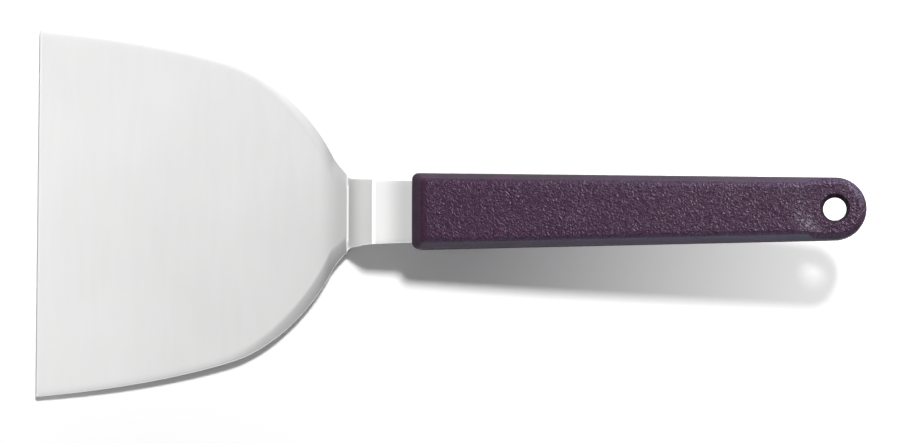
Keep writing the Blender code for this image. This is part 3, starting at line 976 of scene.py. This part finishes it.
class SPATULA_OT_handle(bpy.types.Operator):
    """Make the moulded handle with its dished eye, hang hole and leather grain"""
    bl_idname = "spatula.handle"
    bl_label = "Moulded handle"

    def execute(self, context):
        sizes = context.scene.spatula_handle
        sheet = Sheet(context.scene.spatula_steel)
        grip = Grip(sizes)
        handle = link_mesh("moulded_handle", build_grip(grip),
                           [moulded_plastic("grained_plastic", 0.13), bore_plastic(),
                            moulded_plastic("smooth_plastic", 0.28)])
        cut_now(handle, [tang_pocket(sheet, sizes.gap, sizes.tang_lift)])
        mesh = handle.data
        places = read_all(mesh.vertices, "co", np.float64, 3)
        mask = grain_mask(grip, places.reshape(-1, 3))
        grain = mesh.attributes.new("grain", "FLOAT", "POINT")
        grain.data.foreach_set("value", mask.astype(np.float32))
        corners = read_all(mesh.loops, "vertex_index", np.int32)
        starts = read_all(mesh.polygons, "loop_start", np.int32)
        finish = read_all(mesh.polygons, "material_index", np.int32)
        ungrained = np.maximum.reduceat(mask[corners], starts) < 0.5
        finish[ungrained & (finish == GRAINED)] = SMOOTH
        mesh.polygons.foreach_set("material_index", finish)
        mesh.shade_smooth()
        mesh.set_sharp_from_angle(angle=radians(50))
        mesh.transform(sheet.handle_place())
        grain_modifier(handle, sizes)
        stands_for(handle, "handle")
        return {"FINISHED"}


# Stage

def aim(item, place, target):
    item.location = place
    item.rotation_euler = (Vector(target) - Vector(place)).to_track_quat("-Z", "Y").to_euler()


class SPATULA_OT_stage(bpy.types.Operator):
    """Make the camera, the lamps, the room and the floor"""
    bl_idname = "spatula.stage"
    bl_label = "Stage"

    def execute(self, context):
        stage = context.scene.spatula_stage
        self.camera(context, stage)
        self.lamps(context, stage)
        self.world(context, stage)
        self.floor(stage)
        context.scene.view_settings.view_transform = "Standard"
        return {"FINISHED"}

    def camera(self, context, stage):
        lens = bpy.data.cameras.new("camera")
        lens.sensor_width = 36.0
        lens.lens = stage.focal_length
        camera = bpy.data.objects.new("camera", lens)
        context.scene.collection.objects.link(camera)
        back = Vector((0, -sin(stage.tilt), cos(stage.tilt)))
        camera.location = Vector(stage.target) + stage.distance * back
        turn = Matrix.Rotation(stage.tilt, 4, "X") @ Matrix.Rotation(stage.roll, 4, "Z")
        camera.rotation_euler = turn.to_euler()
        context.scene.camera = camera

    def lamps(self, context, stage):
        """A key lamp for the shadow, and lamps that only the handle's surface mirrors."""
        handle_only = bpy.data.collections.new("handle_only")
        handle_only.objects.link(bpy.data.objects["moulded_handle"])
        middle = (0.06, 0, 0.02)
        # Name, place, width, depth, power in watts and tint of each lamp
        for name, place, width, depth, power, tint in (
            ("key_softbox", (0.170, 0.467, 0.88), 0.17, 0.17, stage.key, (1.0, 1.0, 1.0)),
            ("key_sheen", (0.27, 0.54, 0.82), 0.16, 0.16, 0.10 * stage.key, (1.0, 1.0, 1.0)),
            ("eye_sheen", (0.42, 0.29, 0.58), 0.12, 0.12, 24.0, (0.97, 0.97, 1.0)),
            ("face_sheen", (0.12, 0.48, 0.52), 0.30, 0.20, 1.5, (0.95, 0.97, 1.0)),
            ("upper_sheen", (0.30, 0.30, 0.035), 0.40, 0.06, 3.0, (0.76, 0.80, 1.18)),
            ("lower_sheen", (0.14, -0.50, 0.09), 0.60, 0.16, 1.9, (0.72, 0.88, 1.20)),
            ("rear_sheen", (0.60, 0.12, 0.10), 0.40, 0.20, 1.2, (0.95, 0.92, 1.0)),
        ):
            light = bpy.data.lights.new(name, "AREA")
            light.shape = "ELLIPSE"
            light.size = width
            light.size_y = depth
            light.energy = power
            light.color = tint
            lamp = bpy.data.objects.new(name, light)
            context.scene.collection.objects.link(lamp)
            if name == "key_softbox":
                lamp.visible_glossy = False
                aim(lamp, place, (0, 0, 0))
            else:
                lamp.visible_diffuse = False
                lamp.light_linking.receiver_collection = handle_only
                aim(lamp, place, middle)

    def mirrored_room(self, nodes, x, y, z, beside):
        """Light of the room in a direction (x, y, z), as a surface mirrors it."""
        overhead = nodes.maths("SUBTRACT", nodes.maths("MULTIPLY", y, 0.8),
                               nodes.maths("MULTIPLY", x, 1.85))
        overhead = nodes.ramp(nodes.maths("ADD", overhead, 0.76), 0.6, 1.25, 0.6, 1.25)
        over_front = nodes.ramp(x, -0.45, -0.70, 0.0, 0.9, smooth=True)
        over_handle = nodes.maths("MULTIPLY", nodes.ramp(x, 0.05, 0.20, 0.0, 0.4, smooth=True),
                                  nodes.ramp(y, 0.05, 0.20, smooth=True))
        over_left = nodes.ramp(y, 0.35, 0.75, 0.0, 0.8, smooth=True)
        room = nodes.chain("ADD", overhead, over_front, over_handle, over_left)
        # It gets dimmer low down, far out past the front edge and past the handle's end.
        lowest = nodes.ramp(x, -0.95, -0.70, 0.40, 0.1)
        room = nodes.chain("MULTIPLY", room, nodes.ramp(z, 0.08, 0.56, lowest, 1.0),
                           nodes.ramp(x, -0.95, -0.70, 0.62, 1.0, smooth=True),
                           nodes.ramp(x, 0.20, 0.50, 1.0, 0.6, smooth=True))
        walls = nodes.chain("MULTIPLY", beside, nodes.ramp(x, -0.30, -0.05, 0.9, 1.5),
                            nodes.ramp(z, 0.06, 0.16, 1.0, 0.35))
        return nodes.maths("ADD", room, walls)

    def world(self, context, stage):
        """White room: plain white where seen, softly graded where metal and plastic mirror it."""
        world = bpy.data.worlds.new("room")
        context.scene.world = world
        world.use_nodes = True
        nodes = Nodes(world.node_tree)
        seen = nodes.add("ShaderNodeLightPath")
        way = nodes.add("ShaderNodeSeparateXYZ",
                        Vector=nodes.add("ShaderNodeTexCoord").outputs["Generated"])
        x, y, z = way.outputs
        beside = nodes.ramp(nodes.maths("ABSOLUTE", y), 0.48, 0.80, smooth=True)
        mirrored = self.mirrored_room(nodes, x, y, z, beside)
        cool = nodes.maths("MULTIPLY", beside, seen.outputs["Is Glossy Ray"])
        level = nodes.maths("ADD",
                            nodes.maths("MULTIPLY", mirrored, seen.outputs["Is Glossy Ray"]),
                            seen.outputs["Is Camera Ray"])
        background = world.node_tree.nodes["Background"]
        nodes.put(background.inputs["Color"],
                  nodes.mix_colour(cool, (1.0, 1.0, 1.0, 1.0), (0.97, 1.0, 1.08, 1.0)))
        nodes.put(background.inputs["Strength"], nodes.maths("MAXIMUM", level, stage.room))

    def floor(self, stage):
        mesh_data = bmesh.new()
        bmesh.ops.create_grid(mesh_data, x_segments=1, y_segments=1, size=stage.floor_size / 2)
        floor = link_mesh("floor", mesh_data, [floor_white()])
        floor.location.z = -stage.floor_drop
        floor.rotation_euler.y = stage.floor_slope


# Panel and registration

class SPATULA_PT_panel(bpy.types.Panel):
    """Sizes and operators of the spatula"""
    bl_idname = "SPATULA_PT_panel"
    bl_label = "Griddle spatula"
    bl_space_type = "VIEW_3D"
    bl_region_type = "UI"
    bl_category = "Spatula"

    def draw(self, context):
        for operator, settings in OPERATORS:
            self.layout.operator(operator)
            group = getattr(context.scene, settings)
            column = self.layout.column()
            for name in group.__annotations__:
                column.prop(group, name)


GROUPS = {
    "spatula_steel": SPATULA_PG_steel,
    "spatula_handle": SPATULA_PG_handle,
    "spatula_stage": SPATULA_PG_stage,
}
OPERATORS = [
    ("spatula.steel", "spatula_steel"),
    ("spatula.handle", "spatula_handle"),
    ("spatula.stage", "spatula_stage"),
]
CLASSES = [*GROUPS.values(), SPATULA_OT_steel, SPATULA_OT_handle, SPATULA_OT_stage,
           SPATULA_PT_panel]


def register():
    for made in CLASSES:
        bpy.utils.register_class(made)
    for name, group in GROUPS.items():
        setattr(bpy.types.Scene, name, PointerProperty(type=group))


def unregister():
    for name in GROUPS:
        delattr(bpy.types.Scene, name)
    for made in reversed(CLASSES):
        bpy.utils.unregister_class(made)


def main():
    register()
    for operator, _ in OPERATORS:
        section, name = operator.split(".")
        getattr(getattr(bpy.ops, section), name)()


if __name__ == "__main__":
    main()
